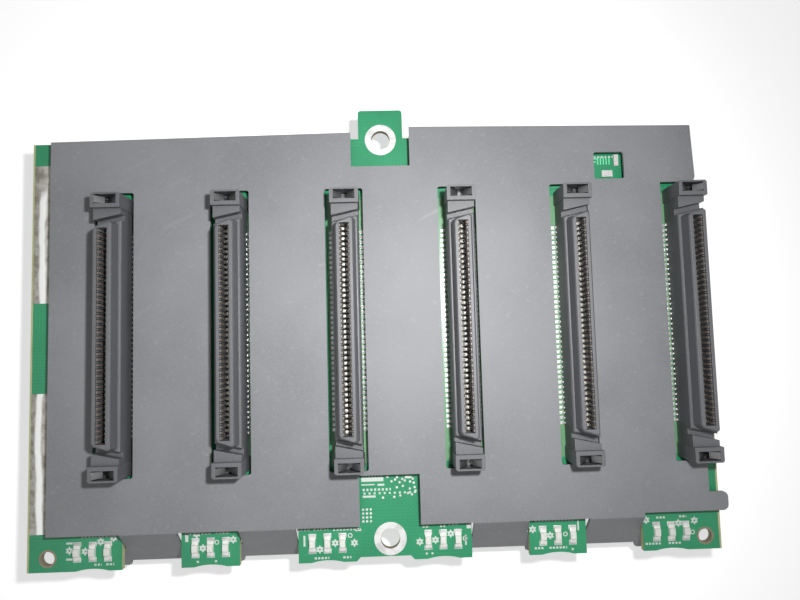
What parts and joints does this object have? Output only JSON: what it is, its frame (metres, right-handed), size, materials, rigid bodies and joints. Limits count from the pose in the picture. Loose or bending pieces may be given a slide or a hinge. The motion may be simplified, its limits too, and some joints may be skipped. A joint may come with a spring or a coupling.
{
  "type": "drive backplane board",
  "caption": "Server drive backplane: printed board with a row of upright drive receptacles behind a folded insulator sheet, LED tabs below and cable connectors on the hidden side.",
  "frame": {"origin": "on the drive-side face of the board, midway between the two large mounting holes", "axes": "+X right along the row of receptacles, +Y up towards the mounting ear, +Z out of the board towards the drives"},
  "size_m": [0.1716, 0.1147, 0.0254],
  "materials": {
    "solder_mask": "semi-gloss green solder mask",
    "tin_plating": "tinned, slightly uneven",
    "grey_sheet": "satin dark grey sheet",
    "black_moulding": "satin black moulding",
    "gold_contact": "plated contact",
    "spring_metal": "sprung strip metal",
    "led_body": "milky lens",
    "ceramic_part": "ceramic chip part",
    "shell_metal": "bright pressed metal",
    "pale_moulding": "natural nylon",
    "chip_black": "moulded epoxy"
  },
  "bodies": {
    "root": {"board": "solder_mask", "ground_strips": "tin_plating", "insulator_sheet": "grey_sheet", "drive_receptacle_1": "black_moulding", "receptacle_contacts_1": "gold_contact", "ground_clips_1": "spring_metal", "tab_leds_1": "led_body", "drive_receptacle_2": "black_moulding", "receptacle_contacts_2": "gold_contact", "ground_clips_2": "spring_metal", "tab_leds_2": "led_body", "drive_receptacle_3": "black_moulding", "receptacle_contacts_3": "gold_contact", "ground_clips_3": "spring_metal", "tab_leds_3": "led_body", "drive_receptacle_4": "black_moulding", "receptacle_contacts_4": "gold_contact", "ground_clips_4": "spring_metal", "tab_leds_4": "led_body", "drive_receptacle_5": "black_moulding", "receptacle_contacts_5": "gold_contact", "ground_clips_5": "spring_metal", "tab_leds_5": "led_body", "drive_receptacle_6": "black_moulding", "receptacle_contacts_6": "gold_contact", "ground_clips_6": "spring_metal", "tab_leds_6": "led_body", "window_parts": "ceramic_part", "cable_receptacle_left": "black_moulding", "cable_shell_left": "shell_metal", "power_header_left": "pale_moulding", "cable_receptacle_right": "black_moulding", "cable_shell_right": "shell_metal", "power_header_right": "pale_moulding", "jack_posts": "shell_metal", "power_pins": "tin_plating", "controller_chip": "chip_black", "terminator_chips": "chip_black", "driver_chips": "chip_black", "capacitors": "chip_black", "clock_can": "shell_metal"}
  },
  "joints": []
}
